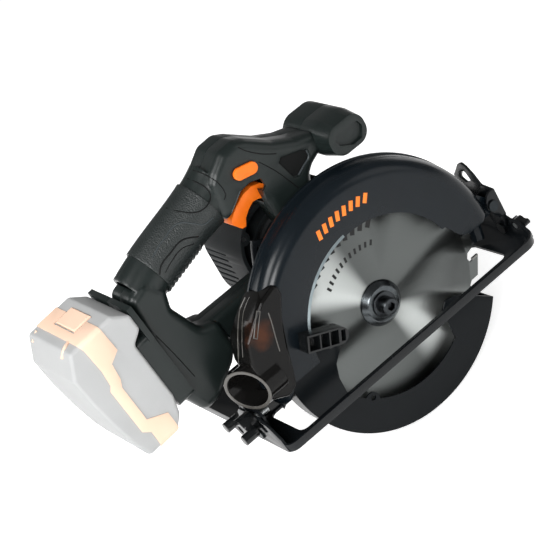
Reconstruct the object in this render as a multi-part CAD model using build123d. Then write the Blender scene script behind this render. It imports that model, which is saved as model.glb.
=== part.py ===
from build123d import *
import math
import os

os.makedirs("parts", exist_ok=True)

# Cordless circular saw, blade on the right. X runs forward, Y to the left, Z up.
# Everything is drawn about the arbor axis and moved onto the sole when it is written:
# there the origin is the middle of the sole's underside.

# Blade and sole
BLADE_D = 185.0
BORE_D = 20.0
TEETH = 24
BLADE_T = 1.6
KERF = 2.2
ARBOR_HEIGHT = 27.5
SOLE_Z = -ARBOR_HEIGHT
SHEET = 2.0
SOLE_TOP = SOLE_Z + SHEET
LIP_Z = SOLE_Z + 6.5
SOLE_RIGHT, SOLE_LEFT = -36.5, 103.5
SLOT_RIGHT, SLOT_LEFT = -25.0, 21.0

# Fits and air
RUN = 0.06
AIR = 0.5
SKIN = 0.1

# Guards: the lower one clears the teeth and the upper one clears the lower one
LOWER_R = BLADE_D / 2 + 5.1
LOWER_NEAR = -10.0
LOWER_FAR = 7.8
LOWER_WALL = 1.5
UPPER_R = LOWER_R + 12.4
UPPER_WALL = 2.5
UPPER_NEAR = -15.0
UPPER_FAR = 13.5
EYE_R = UPPER_R - 40.0
NOSE_R = 22.0

# Pivots of the sole, and its ends, which follow the upper guard
DEPTH_X, DEPTH_Z = UPPER_R + 5.0, 6.5
DEPTH_PIN_R = 3.0
CLAMP_BACK = 70.0
DEPTH_SLOT_R = DEPTH_X + CLAMP_BACK
BRACKET_X0 = DEPTH_X + 5.4
BRACKET_X1 = BRACKET_X0 + SHEET
SOLE_FRONT = BRACKET_X1 + 2.6
SOLE_REAR = -UPPER_R - 21.0
TAB_X0 = SOLE_REAR + 3.4
TAB_X1 = TAB_X0 + SHEET
SLOT_REAR, SLOT_FRONT = -UPPER_R - 2.0, UPPER_R - 11.0
BEVEL_Y, BEVEL_Z = 2.0, SOLE_Z + 6.5
BEVEL_PIN_R = 2.2
BEVEL_SLOT_R = 15.0
STUD_Y, STUD_Z = 0.2, SOLE_Z + 21.4

# Gear train: motor pinion, idler wheel and pinion, output wheel
MODULE = 1.0
N_PINION, N_WHEEL, N_SMALL, N_OUT = 18, 36, 16, 38
MOTOR_X, MOTOR_Z = -15.0, 51.88
IDLER_X, IDLER_Z = MOTOR_X / 2, MOTOR_Z / 2
CASE_Y0, CASE_Y1, COVER_Y1 = UPPER_FAR, 40.0, 43.0
MOTOR_Y1 = 107.0

# Handle and battery
HANDLE_Y = 40.0
GRIP_PITCH = 16.0
WALL = 3.0
DOCK_TILT = -5.0
DOCK_X, DOCK_Z = -170.0, 70.0
CELL_D, CELL_L, CELLS = 18.2, 65.0, 5

nodes = {}


def cyl_y(radius, y0, y1, x=0.0, z=0.0):
    return Pos(x, (y0 + y1) / 2, z) * Rot(90, 0, 0) * Cylinder(radius, y1 - y0)


def cyl_x(radius, x0, x1, y, z):
    return Pos((x0 + x1) / 2, y, z) * Rot(0, 90, 0) * Cylinder(radius, x1 - x0)


def cyl_z(radius, z0, z1, x, y):
    return Pos(x, y, (z0 + z1) / 2) * Cylinder(radius, z1 - z0)


def block(x0, x1, y0, y1, z0, z1):
    middle = Pos((x0 + x1) / 2, (y0 + y1) / 2, (z0 + z1) / 2)
    return middle * Box(x1 - x0, y1 - y0, z1 - z0)


def outline(points, radius=0.0):
    if radius:
        return make_face(FilletPolyline(*points, radius=radius, close=True))
    return make_face(Polyline(*points, close=True))


def prism_y(points, y0, y1, radius=0.0):
    return extrude(Plane.XZ.offset(-y1) * outline(points, radius), amount=y1 - y0)


def prism_x(points, x0, x1, radius=0.0):
    return extrude(Plane.YZ.offset(x0) * outline(points, radius), amount=x1 - x0)


def prism_z(points, z0, z1, radius=0.0):
    return extrude(Plane.XY.offset(z0) * outline(points, radius), amount=z1 - z0)


def polar(radius, degrees, x=0.0, z=0.0):
    turn = math.radians(degrees)
    return (x + radius * math.cos(turn), z + radius * math.sin(turn))


def sector(radius, start, end, x=0.0, z=0.0, steps=12):
    arc = [polar(radius, start + (end - start) * i / steps, x, z) for i in range(steps + 1)]
    return [(x, z)] + arc


def arc_slot(radius, half, start, end, x=0.0, z=0.0, steps=12):
    turns = [start + (end - start) * i / steps for i in range(steps + 1)]
    outer = [polar(radius + half, turn, x, z) for turn in turns]
    inner = [polar(radius - half, turn, x, z) for turn in reversed(turns)]
    return outer + inner


def side_edges(solid):
    faces = solid.faces().sort_by(Axis.Y)
    return faces[0].edges() + faces[-1].edges()


def gear(teeth, y0, y1, x, z, first, bore):
    pitch = 360.0 / teeth
    radius = teeth * MODULE / 2
    points = []
    for i in range(teeth):
        middle = first + i * pitch
        points.append(polar(radius - 1.25 * MODULE, middle - 0.36 * pitch, x, z))
        points.append(polar(radius + 0.8 * MODULE, middle - 0.10 * pitch, x, z))
        points.append(polar(radius + 0.8 * MODULE, middle + 0.10 * pitch, x, z))
        points.append(polar(radius - 1.25 * MODULE, middle + 0.36 * pitch, x, z))
    return prism_y(points, y0, y1) - cyl_y(bore, y0 - 1, y1 + 1, x, z)


def bearing(bore, outer, y0, y1, x=0.0, z=0.0):
    body = cyl_y(outer, y0, y1, x, z) - cyl_y(bore, y0 - 1, y1 + 1, x, z)
    middle = (bore + outer) / 2
    land = (outer - bore) * 0.16
    race = cyl_y(middle + land, y0 - 1, y0 + 0.8, x, z) - cyl_y(middle - land, y0 - 2, y0 + 2, x, z)
    back = cyl_y(middle + land, y1 - 0.8, y1 + 1, x, z) - cyl_y(middle - land, y1 - 2, y1 + 2, x, z)
    return body - race - back


# Blade: steel plate with a gullet in front of each tooth and a brazed tip on each face.
tooth_turn = 360.0 / TEETH
blade_r = BLADE_D / 2
blade_points = []
tips = []
for k in range(TEETH):
    turn = k * tooth_turn
    point = polar(blade_r, turn)
    root = polar(blade_r - 8.0, turn - 1.5)
    blade_points += [point, root]
    blade_points.append(polar(blade_r - 10.0, turn + 0.9))
    blade_points.append(polar(blade_r - 8.6, turn + 3.6))
    blade_points.append(polar(blade_r - 2.6, turn + 5.6))
    seat = (point[0] * 0.3 + root[0] * 0.7, point[1] * 0.3 + root[1] * 0.7)
    ahead = polar(1.4, turn + 90.0)
    corners = [point, seat, (seat[0] + ahead[0], seat[1] + ahead[1])]
    corners.append((point[0] + ahead[0], point[1] + ahead[1]))
    tips.append(prism_y(corners, -KERF / 2, KERF / 2))
blade = prism_y(blade_points, -BLADE_T / 2, BLADE_T / 2)
nodes["blade"] = blade - cyl_y(BORE_D / 2, -5, 5)
nodes["blade_tips"] = Compound(children=tips)

# Arbor: spindle, two clamping flanges and the hexagon socket bolt.
SPINDLE_R, BOLT_R = 6.0, 3.9
spindle = cyl_y(SPINDLE_R, -2.0, 35.0) + cyl_y(4.0, 35.0, 42.4)
nodes["spindle"] = spindle - cyl_y(BOLT_R + RUN, -3.0, 18.0)
inner = cyl_y(18.0, BLADE_T / 2, 4.8) + cyl_y(BORE_D / 2 - RUN, -BLADE_T / 2 + 0.1, BLADE_T / 2)
nodes["inner_flange"] = inner - cyl_y(SPINDLE_R + 0.02, -3.0, 6.0)
flange = cyl_y(17.8, -5.8, -BLADE_T / 2) - cyl_y(SPINDLE_R + 0.3, -3.0, 0.0)
flange = flange - cyl_y(BORE_D / 2 + 0.4, -1.2, 0.0) - cyl_y(BOLT_R + 0.2, -8.0, 0.0)
nodes["outer_flange"] = chamfer(flange.edges().group_by(Axis.Y)[0].sort_by(SortBy.LENGTH)[-1], 4.2)
washer = cyl_y(10.0, -7.4, -5.8) - cyl_y(BOLT_R + 0.2, -8.0, -5.0)
nodes["bolt_washer"] = washer
head = cyl_y(6.6, -15.2, -7.4) - extrude(Plane.XZ.offset(15.4) * RegularPolygon(3.5, 6), amount=-5.2)
head = chamfer(head.edges().group_by(Axis.Y)[0].sort_by(SortBy.LENGTH)[-1], 0.8)
nodes["arbor_bolt"] = head + cyl_y(BOLT_R, -7.4, 16.0)

# Upper guard: one casting round the top half of the blade, open at the eye on the right.
rim = [
    (EYE_R, UPPER_NEAR),
    (UPPER_R, UPPER_NEAR),
    (UPPER_R, 5.5),
    (UPPER_R + 1.2, 5.5),
    (UPPER_R + 1.2, 8.0),
    (UPPER_R - 2.0, 8.0),
    (UPPER_R - 5.0, UPPER_FAR),
    (NOSE_R + 0.2, UPPER_FAR),
    (NOSE_R + 0.2, UPPER_FAR - UPPER_WALL),
    (UPPER_R - 7.5, UPPER_FAR - UPPER_WALL),
    (UPPER_R - UPPER_WALL, 6.5),
    (UPPER_R - UPPER_WALL, UPPER_NEAR + UPPER_WALL),
    (EYE_R, UPPER_NEAR + UPPER_WALL),
]
rim_radii = [0.0] * len(rim)
rim_radii[1] = 13.0
rim_radii[11] = 10.5
guard = revolve(make_face(FilletPolyline(*rim, radius=rim_radii, close=True)), axis=Axis.Y)
GUARD_REAR_Z = -7.0
below = [(160, 6.5), (UPPER_R - 6, 6.5), (UPPER_R - 11, 4.0), (EYE_R + 15, 4.2), (EYE_R + 9.5, 6.5)]
below += [(EYE_R + 6, 10), (EYE_R + 3.5, 14.5), (EYE_R - 1, 22), (EYE_R - 10, 22), (EYE_R - 10, 3.2)]
below += [(-UPPER_R + 16, 3.2), (-UPPER_R + 6, GUARD_REAR_Z), (-160, GUARD_REAR_Z), (-160, -160), (160, -160)]
guard = guard - prism_y(below, -40, 8.0)
guard = guard - block(-160, 160, 7.9, 30, -160, SOLE_TOP + 4.0)
guard = guard - block(-160, -UPPER_R + 6, 7.9, 30, -160, GUARD_REAR_Z)
lug = [(UPPER_R - 5.4, 0), (UPPER_R - 5.4, 20), (UPPER_R - 1, 20), (UPPER_R + 7.2, 10.7), (UPPER_R + 6, 2)]
lug = prism_y(lug + [(UPPER_R, 0)], -5.6, 7.8)
lug = lug + cyl_y(4.8, -5.6, 7.8, DEPTH_X, DEPTH_Z)
guard = guard + lug - cyl_y(DEPTH_PIN_R + RUN, -20, 20, DEPTH_X, DEPTH_Z)

# Dust chute: smoked hood over the guard's rear shoulder with a slanted tube behind it.
CHUTE_Y, CHUTE_Z, CHUTE_RY, CHUTE_RZ, CHUTE_WALL = -4.6, 18.2, 16.0, 17.6, 2.6
HOOD = [(-4.5, 132.3), (3.6, 140.0), (8.7, 147.4), (14.3, 154.3), (13.0, 162.0), (7.2, 177.1)]
HOOD += [(-6.0, 180.6), (-15.0, 178.8), (-17.9, 171.3), (-18.2, 159.6), (-15.4, 146.7), (-12.4, 135.8)]
hood_points = [polar(UPPER_R + out, turn) for out, turn in HOOD]
hood = prism_y(hood_points, -17.6, 8.0, 3.5)
hood = fillet(hood.faces().sort_by(Axis.Y)[0].edges(), 2.2)
tube_end = Plane.YZ.offset(-UPPER_R - 34) * Pos(CHUTE_Y, CHUTE_Z)
tube = extrude(tube_end * Ellipse(CHUTE_RY, CHUTE_RZ), amount=44.0)
bore = extrude(tube_end * Ellipse(CHUTE_RY - CHUTE_WALL, CHUTE_RZ - CHUTE_WALL), amount=44.0)
inside = Plane.XZ.offset(-6.0) * offset(outline(hood_points, 3.5), -2.0)
hollow = extrude(inside, amount=6.0 + 15.5)
bulk = [(0, UPPER_NEAR - 0.3), (UPPER_R + 0.3, UPPER_NEAR - 0.3), (UPPER_R + 0.3, 5.2)]
bulk += [(UPPER_R + 1.6, 5.2), (UPPER_R + 1.6, 30), (0, 30)]
bulk_radii = [0.0, 13.0, 0.0, 0.0, 0.0, 0.0]
envelope = revolve(make_face(FilletPolyline(*bulk, radius=bulk_radii, close=True)), axis=Axis.Y)
chute = hood + tube - hollow - bore - envelope
mitre = [(-UPPER_R + 2.4, -33), (-UPPER_R - 70, -33), (-UPPER_R - 70, 27), (-UPPER_R - 33.6, 27)]
chute = chute - prism_z(mitre, -60, 90)
window = Plane.XZ.offset(-4.0) * offset(outline(hood_points, 3.5), -7.0)
guard = guard - extrude(window, amount=12.0)
nodes["dust_chute"] = chute

# Depth clamp: carriage bolt through the guard's back wall, bush and guide, with a lever nut.
CLAMP_X, CLAMP_Z = polar(DEPTH_SLOT_R, 181.0, DEPTH_X, DEPTH_Z)
GUIDE_Y0, GUIDE_Y1 = 22.0, 25.0
clamp_bolt = cyl_y(6.5, 9.2, UPPER_FAR - UPPER_WALL, CLAMP_X, CLAMP_Z)
clamp_bolt = clamp_bolt + cyl_y(3.0, 9.2, 35.0, CLAMP_X, CLAMP_Z)
nodes["depth_bolt"] = clamp_bolt
guard = guard - cyl_y(3.0 + SKIN, 0, 20, CLAMP_X, CLAMP_Z)
bush = cyl_y(7.5, UPPER_FAR, GUIDE_Y0 - AIR, CLAMP_X, CLAMP_Z)
nodes["depth_bush"] = bush - cyl_y(3.0 + SKIN, 0, 40, CLAMP_X, CLAMP_Z)
LEVER_TURN = 171.5
lever_end = polar(CLAMP_X + 122.0, LEVER_TURN, CLAMP_X, CLAMP_Z)
lever = cyl_y(9.0, GUIDE_Y1 + AIR, 34.0, CLAMP_X, CLAMP_Z)
side = polar(4.2, LEVER_TURN + 90.0)
base = polar(6.5, LEVER_TURN + 90.0)
arm = [
    (CLAMP_X + base[0], CLAMP_Z + base[1]),
    (lever_end[0] + side[0], lever_end[1] + side[1]),
    (lever_end[0] - side[0], lever_end[1] - side[1]),
    (CLAMP_X - base[0], CLAMP_Z - base[1]),
]
lever = lever + prism_y(arm, 28.0, 34.0, 1.5)
lever = lever + cyl_y(5.0, 26.5, 35.5, lever_end[0], lever_end[1])
nodes["depth_lever"] = lever - cyl_y(3.0 + RUN, 0, 60, CLAMP_X, CLAMP_Z)

# Gear case with its nose, cover, bearings and screws.
along = math.hypot(MOTOR_X, MOTOR_Z)
dx, dz = MOTOR_X / along, MOTOR_Z / along


def case_body(y0, y1, grow):
    body = cyl_y(23.5 + grow, y0, y1) + cyl_y(33.0 + grow, y0, y1, MOTOR_X, MOTOR_Z)
    a, b = 23.5 + grow, 33.0 + grow
    hull = [(dz * a, -dx * a), (MOTOR_X + dz * b, MOTOR_Z - dx * b)]
    hull += [(MOTOR_X - dz * b, MOTOR_Z + dx * b), (-dz * a, dx * a)]
    return body + prism_y(hull, y0, y1)


case = case_body(CASE_Y0, CASE_Y1, 0.0) - case_body(CASE_Y0 + 2.5, CASE_Y1 + 1, -2.6)
case = case + cyl_y(NOSE_R, 5.4, CASE_Y0 + 3.0) - cyl_y(14.0, 6.4, 14.4) - cyl_y(10.0, 0, 20)
case = case + cyl_y(7.0, CASE_Y0, CASE_Y0 + 2.9, IDLER_X, IDLER_Z)
case = case - cyl_y(4.0 + RUN, CASE_Y0 + 0.8, 20, IDLER_X, IDLER_Z)
LOCK_Y = 29.5
case = case + cyl_x(6.0, 19.5, 27.0, LOCK_Y, 0.0) - cyl_x(3.0 + RUN, 10.0, 40.0, LOCK_Y, 0.0)
case = case - cyl_y(20.9, CASE_Y0 + 2.5, CASE_Y1 + 1)
nose_groove = cyl_y(NOSE_R + 1, 5.55, 6.05) - cyl_y(NOSE_R - 1.0, 5.0, 6.5)
case = case - nose_groove
retainer = cyl_y(NOSE_R + 3.0, 5.6, 6.0) - cyl_y(NOSE_R - 0.9, 5.0, 6.5)
nodes["guard_retainer"] = retainer - block(-2.5, 2.5, 0, 10, -40, 0)
cover = case_body(CASE_Y1, COVER_Y1, 0.0)
cover = cover + cyl_y(13.0, 35.0, CASE_Y1) - cyl_y(11.0, 35.6, 42.6) - cyl_y(5.0, 30, 50)
cover = cover - cyl_y(13.0, 30, 50, MOTOR_X, MOTOR_Z)
cover = cover + cyl_y(7.0, 36.0, CASE_Y1, IDLER_X, IDLER_Z)
cover = cover - cyl_y(4.0 + RUN, 30.0, 41.5, IDLER_X, IDLER_Z)
nodes["spindle_bearings"] = Compound(
    children=[bearing(6.0, 14.0, 6.4, 14.4), bearing(4.0, 11.0, 35.6, 42.6)]
)
boss_r = 4.4
screw_list = []
CASE_SCREWS = [(-41.0, 77.0), (16.0, 72.0), (24.0, 27.0), (-38.5, 26.0)]
for px, pz in CASE_SCREWS:
    case = case + cyl_y(boss_r, CASE_Y0, CASE_Y1, px, pz)
    cover = cover + cyl_y(boss_r, CASE_Y1, COVER_Y1, px, pz)
    case = case - cyl_y(2.0, CASE_Y0 - 1, CASE_Y1 + 1, px, pz)
    cover = cover - cyl_y(2.0, CASE_Y1 - 1, COVER_Y1 + 1, px, pz)
    guard = guard - cyl_y(2.0, UPPER_FAR - 5, UPPER_FAR + 1, px, pz)
    cone = Pos(px, UPPER_FAR - 1.35, pz) * Rot(90, 0, 0) * Cone(1.9, 3.8, 2.0)
    guard = guard - Pos(px, UPPER_FAR - 1.35, pz) * Rot(90, 0, 0) * Cone(2.0, 3.9, 2.05)
    screw_list.append(cone + cyl_y(1.9, UPPER_FAR - 1.4, COVER_Y1 - 0.5, px, pz))
nodes["guard_screws"] = Compound(children=screw_list)
nodes["gear_case"] = case
nodes["gear_cover"] = cover
nodes["upper_guard"] = guard

# Gear train wheels and shafts.
toward = math.degrees(math.atan2(MOTOR_Z, MOTOR_X))
out_y0, out_y1 = 26.0, 33.0
in_y0, in_y1 = 17.5, 24.0
nodes["output_gear"] = gear(N_OUT, out_y0, out_y1, 0, 0, toward, SPINDLE_R)
idler = cyl_y(4.0, CASE_Y0 + 1.2, 41.0, IDLER_X, IDLER_Z)
wheel = gear(N_WHEEL, in_y0, in_y1, IDLER_X, IDLER_Z, toward, 3.9)
small_first = toward + 180.0 + 180.0 / N_SMALL
small = gear(N_SMALL, out_y0, out_y1, IDLER_X, IDLER_Z, small_first, 3.9)
nodes["idler_gear"] = idler + wheel + small
pinion_first = toward + 180.0 + 180.0 / N_PINION
shaft = cyl_y(4.0, in_y0 - 1.0, MOTOR_Y1 - 4.0, MOTOR_X, MOTOR_Z)
nodes["motor_shaft"] = shaft + gear(N_PINION, in_y0, in_y1, MOTOR_X, MOTOR_Z, pinion_first, 3.9)

# Motor: steel can with magnets, wound armature, commutator, fan, brushes and bearings.
mx, mz = MOTOR_X, MOTOR_Z
CAN_R = 36.0
CAN_Y0, CAN_Y1 = 54.0, MOTOR_Y1 - 15.0
nodes["motor_can"] = cyl_y(CAN_R, CAN_Y0, CAN_Y1, mx, mz) - cyl_y(CAN_R - 2.2, 50.0, MOTOR_Y1, mx, mz)
magnet = cyl_y(CAN_R - 2.2, CAN_Y0 + 2, CAN_Y1 - 2, mx, mz) - cyl_y(CAN_R - 6.6, 50.0, MOTOR_Y1, mx, mz)
keep_top = prism_y(sector(60, 35, 145, mx, mz), 50, MOTOR_Y1)
keep_low = prism_y(sector(60, 215, 325, mx, mz), 50, MOTOR_Y1)
nodes["magnets"] = Compound(children=[magnet & keep_top, magnet & keep_low])
core = cyl_y(CAN_R - 7.4, CAN_Y0 + 4, CAN_Y1 - 4, mx, mz)
for i in range(12):
    sx, sz = polar(CAN_R - 9.4, i * 30.0, mx, mz)
    core = core - cyl_y(2.2, 50.0, MOTOR_Y1, sx, sz)
nodes["armature_core"] = core - cyl_y(4.0, 50, MOTOR_Y1, mx, mz)
nodes["commutator"] = cyl_y(10.5, CAN_Y1 - 3, CAN_Y1 + 5, mx, mz) - cyl_y(4.0, CAN_Y0, MOTOR_Y1, mx, mz)
fan = cyl_y(32.0, 50.5, 52.0, mx, mz) + cyl_y(8.0, 46.0, 51.0, mx, mz)
for i in range(14):
    turn = i * 360.0 / 14
    vane = [polar(6.0, turn - 5, mx, mz), polar(31.0, turn + 6, mx, mz)]
    vane += [polar(31.0, turn + 9, mx, mz), polar(6.0, turn + 8, mx, mz)]
    fan = fan + prism_y(vane, 46.8, 51.2)
nodes["cooling_fan"] = fan - cyl_y(4.0, 40, 60, mx, mz)
brushes = []
for way in (-1, 1):
    start, end = sorted((mx + way * 11.0, mx + way * 24.0))
    brushes.append(block(start, end, CAN_Y1 - 2, CAN_Y1 + 4, mz - 4.0, mz + 4.0))
nodes["brushes"] = Compound(children=brushes)
rear_bearing = bearing(4.0, 11.0, MOTOR_Y1 - 9.5, MOTOR_Y1 - 4.0, mx, mz)
nodes["motor_bearings"] = Compound(children=[bearing(4.0, 12.9, 37.0, 43.0, mx, mz), rear_bearing])

# Motor housing: a squarish drum with an end grille, clamped to the gear cover by four screws.
DRUM = [(-61.5, 12), (-61.5, 106), (31, 106), (31, 12)]
drum = fillet(prism_y(DRUM, COVER_Y1, MOTOR_Y1, 36.0).faces().sort_by(Axis.Y)[-1].edges(), 7.0)
inner_drum = [(-58.5, 15), (-58.5, 103), (28, 103), (28, 15)]
drum = drum - prism_y(inner_drum, COVER_Y1 - 1, MOTOR_Y1 - 10.6, 33.0)
cradle = cyl_y(CAN_R + 2.6, CAN_Y0, MOTOR_Y1 - 10.0, mx, mz)
cradle = cradle - cyl_y(CAN_R + SKIN, 50.0, MOTOR_Y1 - 8.0, mx, mz)
drum = drum + (cradle & prism_y(DRUM, COVER_Y1, MOTOR_Y1, 36.0))
drum = drum - cyl_y(11.0, CAN_Y1 - 2, MOTOR_Y1 - 3.8, mx, mz)
for i in range(-4, 5):
    slit = block(mx + i * 7.4 - 1.7, mx + i * 7.4 + 1.7, CAN_Y1 - 2, MOTOR_Y1 + 13, 74.0, 92.0)
    drum = drum - slit - Pos(0, 0, -58.0) * slit
for i in range(11):
    level = 30.0 + i * 5.6
    drum = drum - block(-64.0, -60.6, 70.0, MOTOR_Y1 - 6, level, level + 2.2)
motor_screws = []
for px, pz in ((-52.5, 90.0), (22.0, 90.0), (22.0, 28.0), (-52.5, 28.0)):
    boss = cyl_y(5.5, COVER_Y1, 52.0, px, pz) & prism_y(DRUM, COVER_Y1, MOTOR_Y1, 36.0)
    drum = drum + boss - cyl_y(2.1, 40.0, 53.0, px, pz)
    motor_screws.append(cyl_y(2.0, COVER_Y1 + 0.4, 51.0, px, pz))
nodes["motor_housing"] = drum
nodes["motor_screws"] = Compound(children=motor_screws)

# Lower guard: pressed sheet round the blade, turning on the gear case nose.
LOWER_FRONT, LOWER_REAR = -34.4, 165.0
away = sector(220.0, LOWER_FRONT, LOWER_REAR, steps=16)
shell = cyl_y(LOWER_R, LOWER_NEAR, LOWER_FAR) - cyl_y(LOWER_R - LOWER_WALL, -50, LOWER_FAR - LOWER_WALL)
shell = shell - prism_y(away, -30, 30)
ring = cyl_y(NOSE_R + 7.0, LOWER_FAR - LOWER_WALL, LOWER_FAR)
near = cyl_y(LOWER_R, LOWER_NEAR, LOWER_NEAR + LOWER_WALL) - cyl_y(EYE_R + 1, -50, 50)
near = near - prism_y(away, -30, 30)
finger = prism_y(
    [(36.6, -61.5), (36.6, -36), (43, -30), (54, -33), (81.6, -56), (60, -70)],
    LOWER_NEAR,
    LOWER_NEAR + LOWER_WALL,
    2.0,
)
web_points = [(-61.7, -43), (-61.3, -21), (-57.9, -10), (-46, 1.5), (-41, 15)]
web_points += [(-60, 21), (-91, 24), (-95, 0), (-82, -46)]
rear_web = prism_y(web_points, LOWER_NEAR, LOWER_NEAR + LOWER_WALL, 2.5)
whole = cyl_y(LOWER_R, LOWER_NEAR, LOWER_FAR)
lower = shell + ring + near + (finger & whole) + (rear_web & whole)
lower = lower + cyl_y(6.5, LOWER_NEAR, LOWER_NEAR + LOWER_WALL, -47.0, -55.0)
lower = lower - cyl_y(2.2, -20, -5, -45.6, -53.4) - cyl_y(NOSE_R + RUN, -5, 20)
nodes["lower_guard"] = lower

# Guard lever: ribbed thumb tab standing off the lower guard, hollow towards the right.
LEVER_A, LEVER_B = polar(EYE_R + 7.7, 160.0), polar(EYE_R - 16.4, 162.1)
POST_A, POST_B = polar(EYE_R - 18.0, 166.1), polar(EYE_R - 7.8, 166.4)
lx, lz = LEVER_B[0] - LEVER_A[0], LEVER_B[1] - LEVER_A[1]
lever_len = math.hypot(lx, lz)
ux, uz = lx / lever_len, lz / lever_len
LEVER_HALF = 6.6


def lever_body(half, y0, y1, cut_a, cut_b):
    ax, az = LEVER_A[0] + ux * cut_a, LEVER_A[1] + uz * cut_a
    bx, bz = LEVER_A[0] + ux * cut_b, LEVER_A[1] + uz * cut_b
    corners = [(ax - uz * half, az + ux * half), (bx - uz * half, bz + ux * half)]
    corners += [(bx + uz * half, bz - ux * half), (ax + uz * half, az - ux * half)]
    return prism_y(corners, y0, y1)


tab = lever_body(LEVER_HALF, -28.0, -15.6, -4.0, lever_len)
tab = tab + cyl_y(LEVER_HALF, -28.0, -15.6, LEVER_B[0], LEVER_B[1])
for start, end in ((-2.4, 6.4), (7.6, 14.4), (15.6, 22.4)):
    tab = tab - lever_body(LEVER_HALF - 1.4, -29.0, -19.0, start, end)
tab = tab - lever_body(LEVER_HALF - 2.4, -29.0, -19.0, 24.6, 28.2)
post = cyl_y(5.6, -16.0, LOWER_NEAR, *POST_A) + cyl_y(4.6, -16.0, LOWER_NEAR, *POST_B)
web = [polar(EYE_R - 1.0, 163.1), polar(EYE_R - 20.5, 166.0), polar(EYE_R - 19.6, 172.6)]
web = prism_y(web + [polar(EYE_R - 9.3, 171.5)], -19.5, -15.6, 1.0)
nodes["guard_lever"] = tab + post + web
nodes["lever_screw"] = cyl_y(2.4, LOWER_NEAR + LOWER_WALL, LOWER_NEAR + LOWER_WALL + 1.0, *POST_A)

# Return spring of the lower guard, wound round the nose, and the rubber stop it opens against.
coil = Helix(pitch=1.35, height=1.35, radius=NOSE_R + 4.2, center=(0, 8.85, 0), direction=(0, 1, 0))
wire = Plane(origin=coil @ 0, z_dir=coil % 0) * Circle(0.45)
nodes["guard_spring"] = sweep(wire, path=coil)
stop_a, stop_b = polar(LOWER_R - 13.6, 28.5), polar(LOWER_R - 2.6, 28.5)
stop_c, stop_d = polar(LOWER_R - 2.6, 33.0), polar(LOWER_R - 13.6, 33.0)
nodes["guard_stop"] = prism_y([stop_a, stop_b, stop_c, stop_d], 3.0, UPPER_FAR - UPPER_WALL, 1.0)

# Spindle lock: push button on the front of the gear case.
lock = cyl_x(3.0, 23.4, 34.0, LOCK_Y, 0.0) + cyl_x(5.4, 31.0, 37.0, LOCK_Y, 0.0)
nodes["spindle_lock"] = lock

# Front bracket: pressed plate hinged on the guard lug, carrying the front bevel pivot.
CHEEK_Y = -9.6
bracket_points = [(CHEEK_Y, -6), (CHEEK_Y, 17.2), (4, 19), (8, 28), (13, 35), (17, 37.5), (22, 36), (30, 28)]
bracket_points += [(34.5, 24), (34.5, 14), (18, 0)]
bracket_points += [(10, SOLE_Z + 9.5), (5.5, SOLE_Z + 3), (-0.5, SOLE_Z + 3)]
bracket = prism_x(bracket_points, BRACKET_X0, BRACKET_X1, 1.8)
ring_points = [(13.5, 21), (16.8, 30.5), (21.5, 29), (27, 22.5), (22, 18.5)]
bracket = bracket - prism_x(ring_points, BRACKET_X0 - 5, BRACKET_X1 + 5, 2.0)
cheek_points = [(-2.7, -4.3), (-4.7, -0.5), (-3.5, 5.5), (-1, 9), (2.5, 10.9), (7.4, 10.7)]
cheek_points += [(7.4, -12.5), (1.5, -12.5)]
cheek = Pos(DEPTH_X, 0, DEPTH_Z) * prism_y(cheek_points, CHEEK_Y, CHEEK_Y + SHEET)
far_cheek = block(DEPTH_X, BRACKET_X1, 8.4, 10.4, DEPTH_Z - 5.2, DEPTH_Z + 5.2)
far_cheek = far_cheek + cyl_y(5.2, 8.4, 10.4, DEPTH_X, DEPTH_Z)
bracket = bracket + cheek + far_cheek - cyl_y(DEPTH_PIN_R, -20, 20, DEPTH_X, DEPTH_Z)
nodes["front_bracket"] = bracket - cyl_x(BEVEL_PIN_R + RUN, BRACKET_X0 - 5, BRACKET_X1 + 5, BEVEL_Y, BEVEL_Z)
pin = cyl_y(DEPTH_PIN_R, CHEEK_Y - 1, 11.4, DEPTH_X, DEPTH_Z)
nodes["depth_pin"] = pin + cyl_y(4.2, CHEEK_Y - 1.8, CHEEK_Y, DEPTH_X, DEPTH_Z)

# Depth guide: side plate with a curved slot about the depth pivot and a tab across the rear.
FOOT_Z = SOLE_Z + 3.0
guide_points = [(TAB_X0, FOOT_Z), (CLAMP_X + 14, FOOT_Z), (CLAMP_X + 14, -12), (CLAMP_X + 7, 5)]
guide_points += [(CLAMP_X - 9, 5), (CLAMP_X - 30, 3), (TAB_X0, 3)]
guide = prism_y(guide_points, GUIDE_Y0, GUIDE_Y1, 2.0)
guide = guide + prism_y(arc_slot(DEPTH_SLOT_R, 7.0, 152.5, 184.0, DEPTH_X, DEPTH_Z, 16), GUIDE_Y0, GUIDE_Y1)
guide = guide - prism_y(arc_slot(DEPTH_SLOT_R, 3.3, 153.8, 182.2, DEPTH_X, DEPTH_Z, 16), 10, 40)
tab_points = [(GUIDE_Y1, FOOT_Z), (GUIDE_Y1, 3), (15, 3), (8, STUD_Z + 5.2), (-6, STUD_Z + 5.2)]
tab_points += [(-10, STUD_Z + 2), (-10, STUD_Z - 5), (-3, FOOT_Z + 3), (0, FOOT_Z)]
tab = prism_x(tab_points, TAB_X0, TAB_X1, 1.5)
guide = guide + tab - cyl_x(BEVEL_PIN_R + RUN, TAB_X0 - 5, TAB_X1 + 5, BEVEL_Y, BEVEL_Z)
nodes["depth_guide"] = guide - cyl_x(3.0, TAB_X0 - 5, TAB_X1 + 5, STUD_Y, STUD_Z)
stud = cyl_x(3.0, SOLE_REAR - 11.0, TAB_X1 + 8.0, STUD_Y, STUD_Z)
nodes["bevel_stud"] = stud + cyl_x(4.2, TAB_X1, TAB_X1 + 1.6, STUD_Y, STUD_Z)


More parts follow.
